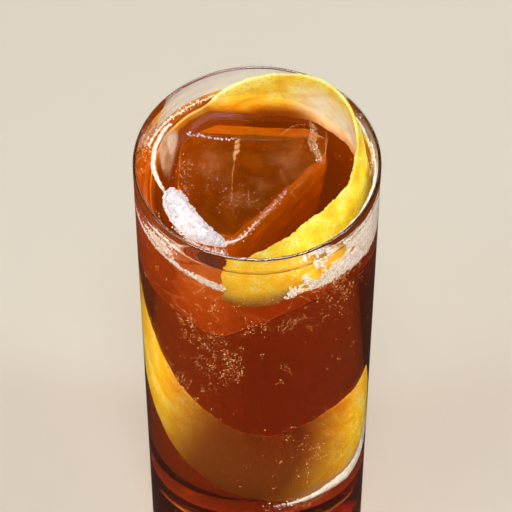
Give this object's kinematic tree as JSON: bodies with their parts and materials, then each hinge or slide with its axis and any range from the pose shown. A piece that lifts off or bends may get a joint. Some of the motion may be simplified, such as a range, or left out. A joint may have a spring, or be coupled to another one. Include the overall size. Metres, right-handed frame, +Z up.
{
  "type": "espresso tonic in a tall glass",
  "caption": "Tall straight clear glass of iced coffee and tonic, with a big clear ice block, a long lemon peel twist and froth.",
  "frame": {"origin": "middle of the glass's flat underside", "axes": "+Z up along the glass's axis; -Y towards the side where the peel's end shows; +X to the right of it"},
  "size_m": [0.062, 0.062, 0.1733],
  "materials": {
    "clear_glass": "clear, fire-polished",
    "coffee_tonic": "clear dark amber liquid",
    "clear_ice": "wet, clear",
    "lemon_skin": "waxy, pored skin with pale pith inside",
    "coffee_froth": "fine wet foam"
  },
  "bodies": {
    "root": {"glass": "clear_glass", "drink": "coffee_tonic", "ice_block": "clear_ice", "lemon_peel": "lemon_skin", "froth_mound": "coffee_froth", "froth_collar_left": "coffee_froth", "froth_collar_right": "coffee_froth"}
  },
  "joints": []
}
